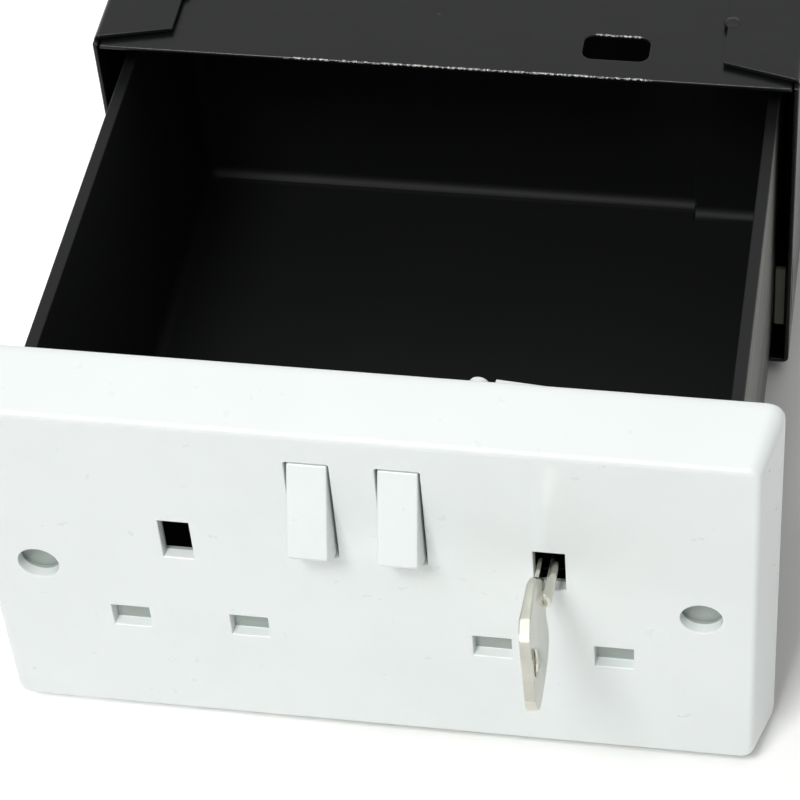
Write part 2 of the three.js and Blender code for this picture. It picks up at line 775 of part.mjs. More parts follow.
// Six-sided nut round an axis along Y.
function hexNut(across, boreRadius, y0, y1) {
  const radius = across / 2 / Math.cos(Math.PI / 6);
  return cut(rod(radius, y0, y1, 0, 0, 6), rod(boreRadius, y0 - past, y1 + past, 0, 0, 28));
}

// Turning plug: key bore with a web that the key's slot straddles, tail and stud for the cam.
function lockPlug() {
  const face = lockDepth + seatGap;
  const tailFront = barrelBack + seatGap;
  const tailBack = camFront + camThickness + seatGap / 2;
  const keyBore = keyShankDiameter / 2 + runningGap;
  const boreEnd = face + keyInsertion + seatGap;
  const body = turned([
    [0, face],
    [plugHeadDiameter / 2, face],
    [plugHeadDiameter / 2, face + plugHeadThickness],
    [plugDiameter / 2, face + plugHeadThickness],
    [plugDiameter / 2, tailFront],
    [0, tailFront],
  ]);
  const tail = alongY(doubleD(plugTailDiameter, plugTailFlats), tailFront - sunk, tailBack, 10);
  const stud = rod(plugStudDiameter / 2, tailBack - sunk, tailBack + plugStudLength, 0, 0, 16);
  const bore = rod(keyBore, face - past, boreEnd, 0, 0, 24);
  const webHalf = plugWebThickness / 2;
  const webReach = keyBore + sunk;
  const web = block(-webHalf, webHalf, face + plugHeadThickness, boreEnd + sunk, -webReach, webReach);
  return joined(cut(joined(body, tail, stud), bore), web);
}

// Cam in its open position: the arm points left, with its end rounded about the lock's axis.
function lockCam() {
  const hub = camHubDiameter / 2;
  const half = camWidth / 2;
  const endAngle = Math.asin(half / camReach);
  const rootAngle = Math.asin(half / hub);
  const shape = new THREE.Shape();
  shape.absarc(0, 0, camReach, Math.PI - endAngle, Math.PI + endAngle, false);
  shape.absarc(0, 0, hub, Math.PI + rootAngle, Math.PI * 3 - rootAngle, false);
  shape.closePath();
  const plate = alongY(shape, camFront, camFront + camThickness, 20);
  const holeShape = doubleD(plugTailDiameter + 2 * runningGap, plugTailFlats + 2 * runningGap);
  return cut(plate, alongY(holeShape, camFront - past, camFront + camThickness + past, 10));
}

// Key along Y: round shank split by a slot, and an oval bow on an upright blade beside the slot.
function doorKey() {
  const shankEnd = lockDepth + seatGap + keyInsertion;
  const radius = keyShankDiameter / 2;
  const slotHalf = plugWebThickness / 2 + runningGap;
  const shank = turned([
    [0, -keyShoulder],
    [radius - keyEdgeChamfer, -keyShoulder],
    [radius, -keyShoulder + keyEdgeChamfer],
    [radius, shankEnd - keyEdgeChamfer],
    [radius - keyEdgeChamfer, shankEnd],
    [0, shankEnd],
  ]);
  const slotReach = radius + past;
  const slot = block(-slotHalf, slotHalf, -keyShoulder - past, shankEnd + past, -slotReach, slotReach);
  const bridgeHalf = keyBridgeWidth / 2;
  const bridgeReach = slotHalf + sunk;
  const bridgeEnd = -keyShoulder + keyEdgeChamfer;
  const bridge = block(-bridgeReach, bridgeReach, bridgeEnd, -keyBridgeStart, -bridgeHalf, bridgeHalf);

  // the blade's own frame starts where the blade leaves the shank
  const necked = keyNeckWidth / 2;
  const neckLength = keyBowReach - keyBladeStart;
  const halfLength = keyBowLength / 2;
  const halfWidth = keyBowWidth / 2;
  const neckAngle = Math.asin(necked / halfWidth) + keyNeckFlare;
  const bow = new THREE.Shape();
  bow.moveTo(0, necked);
  bow.absellipse(-neckLength, 0, halfLength, halfWidth, neckAngle, Math.PI * 2 - neckAngle, false);
  bow.lineTo(0, -necked);
  bow.closePath();
  const ringHole = new THREE.Shape();
  ringHole.absarc(keyBladeStart - keyRingHoleReach, 0, keyRingHoleDiameter / 2, 0, Math.PI * 2, false);
  const blank = alongX(bow, -keyBladeThickness, 0, 32);
  const blade = cut(blank, alongX(ringHole, -keyBladeThickness - past, past, 16));
  const placed = blade.rotate([0, 0, keyBowSet]).translate([-keyBladeOffset, -keyBladeStart, 0]);
  return joined(cut(shank, slot), bridge, placed);
}

// Moulded tray: walls with draft, rounded foot and corners, filleted floor, stop lugs at the sides.
function drawer() {
  const halfWidth = drawerWidth / 2;
  const halfLength = drawerLength / 2;
  const middleY = drawerFront + halfLength;
  const ringAt = (z, inset, radius, steps = 5) => {
    const place = (x, y) => [x, middleY + y, z];
    return cornerRing(halfWidth - inset, halfLength - inset, radius, place, steps);
  };
  const arcSteps = 4;
  const outerRings = [];
  for (let step = 0; step <= arcSteps; step++) {
    const angle = (step / arcSteps) * (Math.PI / 2);
    const inset = drawerFootRadius * (1 - Math.sin(angle));
    const height = drawerFoot + drawerFootRadius * (1 - Math.cos(angle));
    outerRings.push(ringAt(height, inset, drawerCornerRadius - inset));
  }
  outerRings.push(ringAt(drawerRim, 0, drawerCornerRadius));
  const innerRings = [];
  const floorTop = drawerFoot + drawerFloor;
  const innerRadius = Math.max(drawerCornerRadius - drawerWall, drawerFillet) + sunk;
  for (let step = 0; step <= arcSteps; step++) {
    const angle = (step / arcSteps) * (Math.PI / 2);
    const inset = drawerWall + drawerDraft + drawerFillet * (1 - Math.sin(angle));
    const radius = innerRadius - drawerFillet * (1 - Math.sin(angle));
    innerRings.push(ringAt(floorTop + drawerFillet * (1 - Math.cos(angle)), inset, radius));
  }
  innerRings.push(ringAt(drawerRim, drawerWall, innerRadius));
  innerRings.push(ringAt(drawerRim + past, drawerWall, innerRadius));
  const tray = cut(loft(outerRings), loft(innerRings));

  // the thick right end of the rear wall
  const padFront = drawerRear - drawerWall - drawerDraft - drawerPadThickness;
  const padLeft = halfWidth - drawerWall - drawerPadWidth;
  const pad = alongZ(
    outline([
      [padLeft, drawerRear - sunk],
      [padLeft, padFront + drawerPadChamfer],
      [padLeft + drawerPadChamfer, padFront],
      [halfWidth - sunk, padFront],
      [halfWidth - sunk, drawerRear - drawerCornerRadius],
      [halfWidth - drawerCornerRadius, drawerRear - sunk],
    ]),
    drawerFoot + drawerFloor / 2,
    drawerRim - drawerPadDrop,
  );
  const padFoot = new THREE.Shape();
  padFoot.moveTo(padFront + sunk, floorTop - sunk);
  padFoot.lineTo(padFront + sunk, floorTop + drawerFillet);
  padFoot.absarc(padFront - drawerFillet, floorTop + drawerFillet, drawerFillet, 0, -Math.PI / 2, true);
  padFoot.lineTo(padFront - drawerFillet, floorTop - sunk);
  padFoot.closePath();
  const padFillet = alongX(padFoot, padLeft, halfWidth - drawerWall, 5);

  const lugBack = drawerRear - drawerLugSetback;
  const lugFront = lugBack - drawerLugLength;
  const lugHalf = stopTabHeight / 2 - drawerLugShort;
  const lugs = [-1, 1].map((side) => {
    const points = [
      [halfWidth - sunk, lugFront],
      [halfWidth + drawerLugReach, lugFront],
      [halfWidth + drawerLugReach, lugFront + drawerLugFlat],
      [halfWidth - sunk, lugBack],
    ];
    const corners = points.map(([x, y]) => [side * x, y]);
    const plan = outline(side > 0 ? corners : corners.reverse());
    return alongZ(plan, stopTabMiddle - lugHalf, stopTabMiddle + lugHalf);
  });

  const holeFront = drawerFront - past;
  const holeBack = drawerFront + drawerWall + drawerDraft + past;
  const lockHole = rod(barrelFlangeDiameter / 2 + runningGap, holeFront, holeBack, lockX, lockZ, 36);
  const screwHoles = [...carrierScrewPlaces, ...drawerScrewPlaces].map(([, x, z]) =>
    rod(screwDiameter / 2 + holeGap, holeFront, holeBack, x, z, 12),
  );
  return cut(joined(tray, pad, padFillet, ...lugs), lockHole, ...screwHoles);
}

// Bent profile of one sheet: straight, bend, straight, as an outline with the bend at the origin.
function cornerProfile(run, rise) {
  const inner = bendRadius - sheet;
  const shape = new THREE.Shape();
  shape.moveTo(run, 0);
  shape.lineTo(run, sheet);
  shape.lineTo(bendRadius, sheet);
  shape.absarc(bendRadius, bendRadius, inner, Math.PI * 1.5, Math.PI, true);
  shape.lineTo(sheet, rise);
  shape.lineTo(0, rise);
  shape.lineTo(0, bendRadius);
  shape.absarc(bendRadius, bendRadius, bendRadius, Math.PI, Math.PI * 1.5, false);
  shape.closePath();
  return shape;
}

// Bottom and side walls in one folded sheet, with flaps, weld beads and lanced stop tabs.
function housingTray() {
  const half = housingWidth / 2;
  const foot = -housingTop;
  const flapTop = housingTop + seatGap + sheet;
  const wallProfile = alongY(cornerProfile(half + sunk, housingHeight), 0, housingDepth, 4);
  const wall = wallProfile.translate([-half, 0, foot]);
  const flapProfile = alongY(cornerProfile(flapWidth, housingHeight / 2), 0, housingDepth, 4);
  const flap = flapProfile.mirror([0, 0, 1]).translate([-half, 0, flapTop]);
  const slantPerWidth = flapSlant / flapWidth;
  const flapPlan = alongZ(
    outline([
      [-half - past, flapSetback - past * slantPerWidth],
      [-half + flapWidth + past, flapSetback + flapSlant + past * slantPerWidth],
      [-half + flapWidth + past, housingDepth - flapSetback - flapSlant - past * slantPerWidth],
      [-half - past, housingDepth - flapSetback + past * slantPerWidth],
    ]),
    housingTop - bendRadius,
    flapTop + past,
  );
  const tabFoot = stopTabMiddle - stopTabHeight / 2;
  const tabHead = stopTabMiddle + stopTabHeight / 2;
  const windowFront = stopTabSetback + sheet;
  const windowBack = windowFront + stopTabReach + stopWindowRoom;
  const window = block(-half - past, -half + sheet + past, windowFront, windowBack, tabFoot, tabHead);
  const tab = block(
    -half + sheet / 2,
    -half + sheet + stopTabReach,
    stopTabSetback,
    stopTabSetback + sheet,
    tabFoot,
    tabHead,
  );

  // weld beads over the flap's inner edge
  const radius = weldDiameter / 2;
  const bead = turned([
    [0, -sheet],
    [radius, -sheet],
    [radius, 0],
    [radius * 0.72, weldHeight * 0.75],
    [radius * 0.3, weldHeight],
    [0, weldHeight],
  ], 14).rotate([90, 0, 0]);
  const beads = [weldSetback, housingDepth - weldSetback].map((y) => {
    return bead.translate([-half + flapWidth - weldInset, y, flapTop]);
  });
  const leftHalf = joined(cut(joined(wall, flap.intersect(flapPlan)), window), tab, ...beads);
  return joined(leftHalf, leftHalf.mirror([1, 0, 0]));
}

// Top and back in one folded sheet, with the cam slot and the wall screw holes.
function housingCover() {
  const half = housingWidth / 2 - sheet - seatGap;
  const profile = alongX(cornerProfile(housingDepth, housingHeight - sheet - seatGap), -half, half, 4);
  const shell = profile.mirror([0, 0, 1]).mirror([0, 1, 0]).translate([0, housingDepth, housingTop]);
  const slotShape = roundedRect(
    camSlotWidth,
    camSlotLength,
    camSlotCorner,
    lockX + camSlotOffset,
    camSlotSetback + camSlotLength / 2,
  );
  const slot = alongZ(slotShape, housingTop - sheet - past, housingTop + past);
  const holes = [];
  for (const side of [-1, 1]) {
    const x = side * (housingWidth / 2 - wallHoleInsetSide);
    for (const z of [wallHoleInset - housingTop, housingTop - wallHoleInset]) {
      holes.push(rod(wallHoleDiameter / 2, housingDepth - sheet - past, housingDepth + past, x, z, 20));
    }
  }
  return cut(shell, slot, ...holes);
}

const safe = new THREE.Group();

const housing = new THREE.Group();
housing.position.y = -housingDepth;
housing.add(piece("housing_tray", housingTray(), blackPaint));
housing.add(piece("housing_cover", housingCover(), blackPaint));
safe.add(housing);

const front = new THREE.Group();
front.position.y = plateRestFront;
front.add(piece("faceplate", faceplate(), whiteMoulding));
front.add(piece("drawer", drawer(), blackMoulding));
front.add(piece("rocker_retainer", rockerRetainer(), whiteMoulding));
for (const [side, x] of rockerSides) {
  const pressed = piece(`rocker_${side}`, rocker(), whiteMoulding);
  pressed.position.set(x, rockerPivotDepth, rockerPivotHeight);
  pressed.rotation.x = THREE.MathUtils.degToRad(-rockerTilt);
  front.add(pressed);
  const leaf = piece(`rocker_spring_${side}`, rockerLeaf(), springSteel);
  leaf.position.x = x;
  front.add(leaf);
}
for (const [place, x, z] of retainerScrewPlaces) {
  const top = retainerDepth + retainerThickness;
  const shape = flatScrew(retainerScrewDiameter, retainerScrewDiameter * 2, top - retainerScrewLength, top);
  const screw = piece(`retainer_screw_${place}`, shape, zinc);
  screw.position.set(x, 0, z);
  front.add(screw);
}
for (const [place, x, z] of carrierScrewPlaces) {
  const seat = carrierFront + carrierBase + seatGap;
  const shape = panScrew(screwDiameter, screwHeadDiameter, screwHeadHeight, plateDepth - screwBite, seat);
  const screw = piece(`carrier_screw_${place}`, shape, zinc);
  screw.position.set(x, 0, z);
  front.add(screw);
}
for (const [place, x, z] of drawerScrewPlaces) {
  const seat = drawerFront + drawerWall + drawerDraft + seatGap;
  const shape = panScrew(screwDiameter, screwHeadDiameter, screwHeadHeight, plateDepth - screwBite, seat);
  const screw = piece(`drawer_screw_${place}`, shape, zinc);
  screw.position.set(x, 0, z);
  front.add(screw);
}
safe.add(front);

const lock = new THREE.Group();
lock.position.set(lockX, 0, lockZ);
const nutFront = carrierFront + carrierBase + seatGap;
const camNutFront = camFront + camThickness + seatGap;
lock.add(piece("lock_carrier", lockCarrier(), whiteMoulding));
lock.add(piece("lock_body", lockBody(), zinc));
const barrelBore = barrelDiameter / 2 + runningGap;
lock.add(piece("lock_nut", hexNut(lockNutAcross, barrelBore, nutFront, nutFront + lockNutThickness), zinc));
const turning = new THREE.Group();
turning.rotation.y = THREE.MathUtils.degToRad(-keyLean);
const studBore = plugStudDiameter / 2 + runningGap;
const camNut = hexNut(camNutAcross, studBore, camNutFront, camNutFront + camNutThickness);
turning.add(piece("lock_plug", lockPlug(), zinc));
turning.add(piece("lock_cam", lockCam(), nickel));
turning.add(piece("cam_nut", camNut, zinc));
turning.add(piece("key", doorKey(), nickel));
lock.add(turning);
front.add(lock);

export default safe;
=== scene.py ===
"""Looks of an outlet diversion safe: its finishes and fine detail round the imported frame."""

import json
import math

import bmesh
import bpy
from mathutils import Matrix, Vector


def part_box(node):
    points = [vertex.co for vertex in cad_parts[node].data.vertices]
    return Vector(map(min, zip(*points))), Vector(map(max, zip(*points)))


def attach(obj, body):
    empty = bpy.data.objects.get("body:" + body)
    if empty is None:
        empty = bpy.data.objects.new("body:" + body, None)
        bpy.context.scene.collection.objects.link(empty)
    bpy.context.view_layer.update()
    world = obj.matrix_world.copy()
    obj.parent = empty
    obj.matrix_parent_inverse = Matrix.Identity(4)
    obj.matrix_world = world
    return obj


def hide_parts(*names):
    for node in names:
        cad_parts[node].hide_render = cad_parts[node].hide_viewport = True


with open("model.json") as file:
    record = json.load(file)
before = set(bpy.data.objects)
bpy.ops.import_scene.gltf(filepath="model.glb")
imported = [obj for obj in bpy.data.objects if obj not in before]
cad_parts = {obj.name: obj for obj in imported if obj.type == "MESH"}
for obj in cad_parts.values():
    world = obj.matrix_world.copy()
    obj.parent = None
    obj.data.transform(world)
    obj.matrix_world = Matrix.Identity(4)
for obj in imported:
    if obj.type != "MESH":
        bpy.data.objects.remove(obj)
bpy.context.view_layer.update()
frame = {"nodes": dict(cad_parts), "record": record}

MM = 0.001

# Places in the frame, in metres
PLATE_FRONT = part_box("faceplate")[0].y
PLATE_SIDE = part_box("faceplate")[1].x
PLATE_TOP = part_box("faceplate")[1].z
HOUSING_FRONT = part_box("housing_cover")[0].y
COVER_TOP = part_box("housing_cover")[1].z
SKIN_BACK = PLATE_FRONT + 2.1 * MM  # just before the floors of the blind holes
DRAWER_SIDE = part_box("drawer")[1].x - 2.1 * MM  # the lugs stand 2.1 mm out from the side wall

# Patches with a look of their own, as middle and half size in millimetres: see zone
PLATE_RIM = 4  # the sloping rim round the plate's face
FLOOR_BAND = 0.9  # half the depth in which the floors of the plate's holes lie
# the floors of the plate's holes, which get painted shade
HOLE_FLOORS = {
    "size_X": (0, PLATE_SIDE / MM - PLATE_RIM),
    "Y": (SKIN_BACK / MM + FLOOR_BAND, FLOOR_BAND),
    "size_Z": (0, PLATE_TOP / MM - PLATE_RIM),
}
# the tabs are bent in from the side walls, just behind the housing's front, and carry a painted
# reflection
STOP_TABS = {"size_X": (66.3, 1.35), "Y": (HOUSING_FRONT / MM + 1.7, 0.9), "Z": (-19.3, 8.1)}
EDGE_BAND = 0.22  # half the width of the glossy band along an edge that carries a painted highlight
EDGE_BAND_INSET = 0.1  # how far its middle lies inside the edge
SLOT_REAR = 12.4  # the cam slot's rear edge, behind the housing's front
COVER_EDGE = (COVER_TOP / MM - EDGE_BAND_INSET, EDGE_BAND)
# the mouth's front edge: the painted highlight spans this stretch of it
MOUTH_EDGE = {
    "X": (5, 36),
    "Y": (HOUSING_FRONT / MM + EDGE_BAND_INSET, EDGE_BAND),
    "Z": COVER_EDGE,
}
SLOT_EDGE = {
    "X": (33.05, 4.4),
    "Y": (HOUSING_FRONT / MM + SLOT_REAR + EDGE_BAND_INSET, EDGE_BAND),
    "Z": COVER_EDGE,
}

# Finishes: the scale of a pattern is its number of waves or cells in a metre


def linear(code):
    """A colour written as sRGB hex, in the linear values that shaders take."""
    parts = [int(code[i : i + 2], 16) / 255 for i in (0, 2, 4)]
    return [p / 12.92 if p <= 0.04045 else ((p + 0.055) / 1.055) ** 2.4 for p in parts] + [1.0]


def node(tree, kind, settings=None, inputs=None):
    """Adds a shader node: settings are its properties, inputs its values or what feeds them."""
    made = tree.nodes.new(kind)
    for key, value in (settings or {}).items():
        setattr(made, key, value)
    for key, value in (inputs or {}).items():
        if isinstance(value, bpy.types.NodeSocket):
            tree.links.new(value, made.inputs[key])
        else:
            made.inputs[key].default_value = value
    return made


def new_finish(name, **sockets):
    """A material with its shader's plain values: gives material, tree, shader, coordinates."""
    material = bpy.data.materials.new(name)
    material.use_nodes = True
    tree = material.node_tree
    shader = tree.nodes["Principled BSDF"]
    for key, value in sockets.items():
        shader.inputs[key.replace("_", " ")].default_value = value
    coordinates = node(tree, "ShaderNodeTexCoord").outputs["Object"]
    return material, tree, shader, coordinates


def zone(tree, place, **spans):
    """1 inside a box in the frame, 0 outside: spans give middle and half size in mm for X, Y or Z.

    A span in the name of size, such as size_X, takes the coordinate without its sign.
    """
    spot = node(tree, "ShaderNodeSeparateXYZ", None, {"Vector": place})
    inside = 1.0
    for axis, (middle, reach) in spans.items():
        value = spot.outputs[axis[-1]]
        if axis.startswith("size"):
            value = node(tree, "ShaderNodeMath", {"operation": "ABSOLUTE"}, {0: value}).outputs[0]
        hit = node(
            tree,
            "ShaderNodeMath",
            {"operation": "COMPARE"},
            {0: value, 1: middle * MM, 2: reach * MM},
        )
        both = node(
            tree, "ShaderNodeMath", {"operation": "MULTIPLY"}, {0: inside, 1: hit.outputs[0]}
        )
        inside = both.outputs[0]
    return inside


def white_urea(name, shade_floors):
    """Urea moulding, hot pressed in a polished tool: a cool white with a soft wide gloss."""
    material, tree, shader, place = new_finish(name, IOR=1.54)
    # clouding of the pressed powder, in patches about 20 mm wide
    cloud = node(tree, "ShaderNodeTexNoise", None, {"Vector": place, "Scale": 50.0, "Detail": 2.0})
    tint = node(
        tree,
        "ShaderNodeMix",
        {"data_type": "RGBA"},
        {0: cloud.outputs["Fac"], 6: linear("DDE2E1"), 7: linear("E4E9E8")},
    )
    # rare specks of dust caught in the skin, under 0.4 mm across
    specks = node(tree, "ShaderNodeTexVoronoi", None, {"Vector": place, "Scale": 33.0})
    speck = node(
        tree,
        "ShaderNodeMapRange",
        None,
        {"Value": specks.outputs["Distance"], "From Min": 0.003, "From Max": 0.006},
    )
    dusted = node(
        tree,
        "ShaderNodeMix",
        {"data_type": "RGBA"},
        {0: speck.outputs["Result"], 6: linear("D6DAD8"), 7: tint.outputs[2]},
    )
    colour = dusted.outputs[2]
    if shade_floors:
        # painted shade: the floors of the holes, 2 to 4 mm behind the plate's face, are painted
        # grey for the shade that falls in them
        floors = zone(tree, place, **HOLE_FLOORS)
        dull = node(
            tree,
            "ShaderNodeMix",
            {"data_type": "RGBA"},
            {0: floors, 6: colour, 7: linear("9DA5A0")},
        )
        colour = dull.outputs[2]
    tree.links.new(colour, shader.inputs["Base Color"])
    # the tool's polish varies over a few millimetres
    polish = node(
        tree, "ShaderNodeTexNoise", None, {"Vector": place, "Scale": 300.0, "Detail": 3.0}
    )
    rough = node(
        tree,
        "ShaderNodeMapRange",
        None,
        {"Value": polish.outputs["Fac"], "To Min": 0.24, "To Max": 0.36},
    )
    tree.links.new(rough.outputs["Result"], shader.inputs["Roughness"])
    # slight ripple of the moulded skin, about 1.5 mm from wave to wave
    ripple = node(
        tree, "ShaderNodeTexNoise", None, {"Vector": place, "Scale": 650.0, "Detail": 1.0}
    )
    bump = node(
        tree,
        "ShaderNodeBump",
        None,
        {"Height": ripple.outputs["Fac"], "Strength": 0.25, "Distance": 0.03 * MM},
    )
    tree.links.new(bump.outputs["Normal"], shader.inputs["Normal"])
    return material


def black_abs():
    """ABS, injection moulded: near black, dull inside, with a painted reflection in grey on its
    running sides.
    """
    material, tree, shader, place = new_finish(
        "black_abs_moulded", IOR=1.5, Specular_IOR_Level=0.24
    )
    # flow of the melt in the tool, in patches about 40 mm wide
    flow = node(tree, "ShaderNodeTexNoise", None, {"Vector": place, "Scale": 25.0, "Detail": 3.0})
    tint = node(
        tree,
        "ShaderNodeMix",
        {"data_type": "RGBA"},
        {0: flow.outputs["Fac"], 6: linear("060807"), 7: linear("0B0D0C")},
    )
    # hairline rubbing marks along the way the drawer slides, drawn about 2 mm apart to show at all
    stretched = node(
        tree, "ShaderNodeMapping", None, {"Vector": place, "Scale": (500.0, 20.0, 500.0)}
    )
    marked = node(
        tree,
        "ShaderNodeTexNoise",
        None,
        {"Vector": stretched.outputs["Vector"], "Scale": 1.0},
    )
    rough = node(
        tree,
        "ShaderNodeMapRange",
        None,
        {
            "Value": marked.outputs["Fac"],
            "From Min": 0.35,
            "From Max": 0.75,
            "To Min": 0.38,
            "To Max": 0.5,
        },
    )
    # the sides that run past the housing are the outermost 0.3 mm of the walls
    sides = node(tree, "ShaderNodeSeparateXYZ", None, {"Vector": place})
    reach = node(tree, "ShaderNodeMath", {"operation": "ABSOLUTE"}, {0: sides.outputs["X"]})
    outside = node(
        tree,
        "ShaderNodeMapRange",
        None,
        {
            "Value": reach.outputs[0],
            "From Min": DRAWER_SIDE - 0.3 * MM,
            "From Max": DRAWER_SIDE - 0.1 * MM,
        },
    )
    worn = node(
        tree,
        "ShaderNodeMix",
        None,
        {0: outside.outputs["Result"], 2: 0.6, 3: rough.outputs["Result"]},
    )
    tree.links.new(worn.outputs[0], shader.inputs["Roughness"])
    # painted reflection: the running sides are painted a warm grey for the table that they mirror
    side_reflection = node(
        tree,
        "ShaderNodeMix",
        {"data_type": "RGBA"},
        {0: outside.outputs["Result"], 6: tint.outputs[2], 7: linear("343530")},
    )
    tree.links.new(side_reflection.outputs[2], shader.inputs["Base Color"])
    # the moulded skin's faint waviness, about 4 mm from wave to wave
    skin = node(tree, "ShaderNodeTexNoise", None, {"Vector": place, "Scale": 250.0, "Detail": 1.0})
    bump = node(
        tree,
        "ShaderNodeBump",
        None,
        {"Height": skin.outputs["Fac"], "Strength": 0.2, "Distance": 0.03 * MM},
    )
    tree.links.new(bump.outputs["Normal"], shader.inputs["Normal"])
    return material


def black_powder_coat():
    """Polyester powder, sprayed and baked on folded steel: gloss black with orange peel."""
    material, tree, shader, place = new_finish(
        "black_powder_coat", IOR=1.5, Specular_IOR_Level=0.26
    )
    # the coat's thickness drifts over about 30 mm, and its shade with it
    drift = node(tree, "ShaderNodeTexNoise", None, {"Vector": place, "Scale": 30.0, "Detail": 3.0})
    tint = node(
        tree,
        "ShaderNodeMix",
        {"data_type": "RGBA"},
        {0: drift.outputs["Fac"], 6: linear("090B0A"), 7: linear("101211")},
    )
    # sparse soft grains of dust under the coat, about 0.6 mm across
    grains = node(tree, "ShaderNodeTexVoronoi", None, {"Vector": place, "Scale": 110.0})
    grain = node(
        tree,
        "ShaderNodeMapRange",
        None,
        {
            "Value": grains.outputs["Distance"],
            "From Min": 0.02,
            "From Max": 0.05,
            "To Min": 1.0,
            "To Max": 0.0,
        },
    )
    dusted = node(
        tree,
        "ShaderNodeMix",
        {"data_type": "RGBA"},
        {0: grain.outputs["Result"], 6: tint.outputs[2], 7: linear("2E2E2C")},
    )
    # painted reflection: the stop tabs are painted a brownish grey for the shaded table that they
    # mirror
    tabs = zone(tree, place, **STOP_TABS)
    marked = node(
        tree,
        "ShaderNodeMix",
        {"data_type": "RGBA"},
        {0: tabs, 6: dusted.outputs[2], 7: linear("5C5D53")},
    )
    # thin, glossy coat and flecks of painted highlight along the mouth's front edge and the slot's
    # rear edge
    mouth = zone(tree, place, **MOUTH_EDGE)
    slot_rear = zone(tree, place, **SLOT_EDGE)
    glossy = node(tree, "ShaderNodeMath", {"operation": "MAXIMUM"}, {0: mouth, 1: slot_rear})
    # the painted highlight is broken into flecks about 0.7 mm across
    fleck_noise = node(
        tree, "ShaderNodeTexNoise", None, {"Vector": place, "Scale": 1500.0, "Detail": 0.0}
    )
    fleck = node(
        tree,
        "ShaderNodeMapRange",
        None,
        {"Value": fleck_noise.outputs["Fac"], "From Min": 0.45, "From Max": 0.6},
    )
    glint_flecks = node(
        tree,
        "ShaderNodeMath",
        {"operation": "MULTIPLY"},
        {0: glossy.outputs[0], 1: fleck.outputs["Result"]},
    )
    highlit = node(
        tree,
        "ShaderNodeMix",
        {"data_type": "RGBA"},
        {0: glint_flecks.outputs[0], 6: marked.outputs[2], 7: linear("9C9D96")},
    )
    tree.links.new(highlit.outputs[2], shader.inputs["Base Color"])
    # handling dulls the gloss in patches about 8 mm wide
    wear = node(tree, "ShaderNodeTexNoise", None, {"Vector": place, "Scale": 120.0, "Detail": 4.0})
    rough = node(
        tree,
        "ShaderNodeMapRange",
        None,
        {"Value": wear.outputs["Fac"], "To Min": 0.18, "To Max": 0.32},
    )
    coat = node(
        tree, "ShaderNodeMix", None, {0: glossy.outputs[0], 2: rough.outputs["Result"], 3: 0.05}
    )
    tree.links.new(coat.outputs[0], shader.inputs["Roughness"])
    # orange peel, about 2 mm from dimple to dimple
    peel = node(tree, "ShaderNodeTexNoise", None, {"Vector": place, "Scale": 480.0, "Detail": 1.5})
    bump = node(
        tree,
        "ShaderNodeBump",
        None,
        {"Height": peel.outputs["Fac"], "Strength": 0.5, "Distance": 0.08 * MM},
    )
    tree.links.new(bump.outputs["Normal"], shader.inputs["Normal"])
    return material


def plated(name, shades, polish, grain, depth):
    """Plated metal: two shades of the plating, its polish, and the grain of the metal under it.

    The grain is finer than the render can show, so it is drawn 1 to 2 mm coarse.
    """
    material, tree, shader, place = new_finish(name, Metallic=1.0)
    # the plating's shade varies over 4 to 5 mm
    stain = node(
        tree, "ShaderNodeTexNoise", None, {"Vector": place, "Scale": 220.0, "Detail": 4.0}
    )
    tint = node(
        tree,
        "ShaderNodeMix",
        {"data_type": "RGBA"},
        {0: stain.outputs["Fac"], 6: linear(shades[0]), 7: linear(shades[1])},
    )
    tree.links.new(tint.outputs[2], shader.inputs["Base Color"])
    drawn = node(
        tree, "ShaderNodeTexNoise", None, {"Vector": place, "Scale": grain, "Detail": 3.0}
    )
    rough = node(
        tree,
        "ShaderNodeMapRange",
        None,
        {"Value": drawn.outputs["Fac"], "To Min": polish[0], "To Max": polish[1]},
    )
    tree.links.new(rough.outputs["Result"], shader.inputs["Roughness"])
    bump = node(
        tree,
        "ShaderNodeBump",
        None,
        {"Height": drawn.outputs["Fac"], "Strength": 0.3, "Distance": depth * MM},
    )
    tree.links.new(bump.outputs["Normal"], shader.inputs["Normal"])
    return material


UREA = white_urea("white_urea_moulded", shade_floors=False)
PLATE_UREA = white_urea("white_urea_moulded_plate_painted_shade", shade_floors=True)
ABS = black_abs()
POWDER = black_powder_coat()
# Bright nickel on stamped steel: a mirror with a warm cast, slightly wavy
NICKEL = plated(
    "nickel_plated_steel", ("BDBBB0", "DAD9CF"), polish=(0.07, 0.18), grain=420.0, depth=0.03
)
# Clear zinc on turned and pressed steel: cool grey and a little cloudy
ZINC = plated(
    "zinc_plated_steel", ("A4A8AA", "C4C8C8"), polish=(0.26, 0.42), grain=900.0, depth=0.03
)
# Black-passivated zinc casting: dark, with the cast skin's fine grain
BLACK_ZINC = plated(
    "black_passivated_zinc", ("141414", "222221"), polish=(0.3, 0.45), grain=900.0, depth=0.05
)
# Tempered spring strip: grey with straw-coloured patches
SPRING = plated(
    "tempered_spring_steel", ("77746D", "9C968A"), polish=(0.2, 0.35), grain=1200.0, depth=0.02
)


# Pieces


def paint(thing, material):
    """Gives an object one material."""
    thing.data.materials.clear()
    thing.data.materials.append(material)


def linked(name, data):
    """A new object in the scene."""
    thing = bpy.data.objects.new(name, data)
    bpy.context.collection.objects.link(thing)
    return thing


